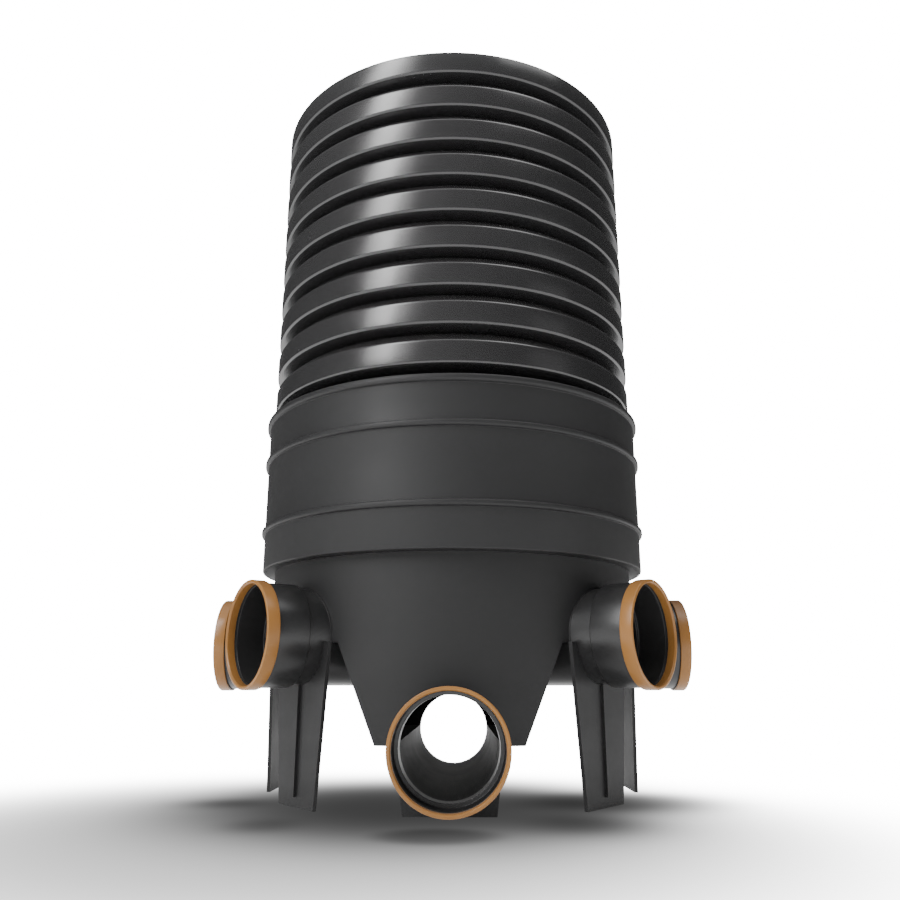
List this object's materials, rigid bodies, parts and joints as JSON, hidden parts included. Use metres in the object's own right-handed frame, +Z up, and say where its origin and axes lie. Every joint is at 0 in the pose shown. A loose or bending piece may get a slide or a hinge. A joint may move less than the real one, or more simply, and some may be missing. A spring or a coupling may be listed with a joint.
{
  "type": "drain inspection chamber",
  "caption": "Free-standing plastic drain inspection chamber with a corrugated riser, banded collar, trough-shaped base on foot plates and ochre-ringed pipe sockets.",
  "frame": {"origin": "on the floor under the centre of the riser", "axes": "+Z up along the riser, -Y towards the front socket of the main channel, +X to the right"},
  "size_m": [0.9012, 0.88, 1.317],
  "materials": {
    "riser_plastic": "satin black moulded polyethylene",
    "base_plastic": "satin black moulded polypropylene",
    "ring_plastic": "ochre brown moulded plastic",
    "seal_rubber": "matt black rubber"
  },
  "bodies": {
    "root": {"riser_pipe": "riser_plastic", "riser_seal": "seal_rubber", "riser_collar": "base_plastic", "chamber_wall": "base_plastic", "channel_tray": "base_plastic", "stub_front": "base_plastic", "foot_front": "base_plastic", "socket_front": "base_plastic", "ring_front": "ring_plastic", "seal_front": "seal_rubber", "stub_rear": "base_plastic", "foot_rear": "base_plastic", "socket_rear": "base_plastic", "ring_rear": "ring_plastic", "seal_rear": "seal_rubber", "branch_left_front": "base_plastic", "foot_left_front": "base_plastic", "socket_left_front": "base_plastic", "ring_left_front": "ring_plastic", "seal_left_front": "seal_rubber", "branch_right_front": "base_plastic", "foot_right_front": "base_plastic", "socket_right_front": "base_plastic", "ring_right_front": "ring_plastic", "seal_right_front": "seal_rubber", "branch_left_rear": "base_plastic", "foot_left_rear": "base_plastic", "socket_left_rear": "base_plastic", "ring_left_rear": "ring_plastic", "seal_left_rear": "seal_rubber", "branch_right_rear": "base_plastic", "foot_right_rear": "base_plastic", "socket_right_rear": "base_plastic", "ring_right_rear": "ring_plastic", "seal_right_rear": "seal_rubber"}
  },
  "joints": []
}
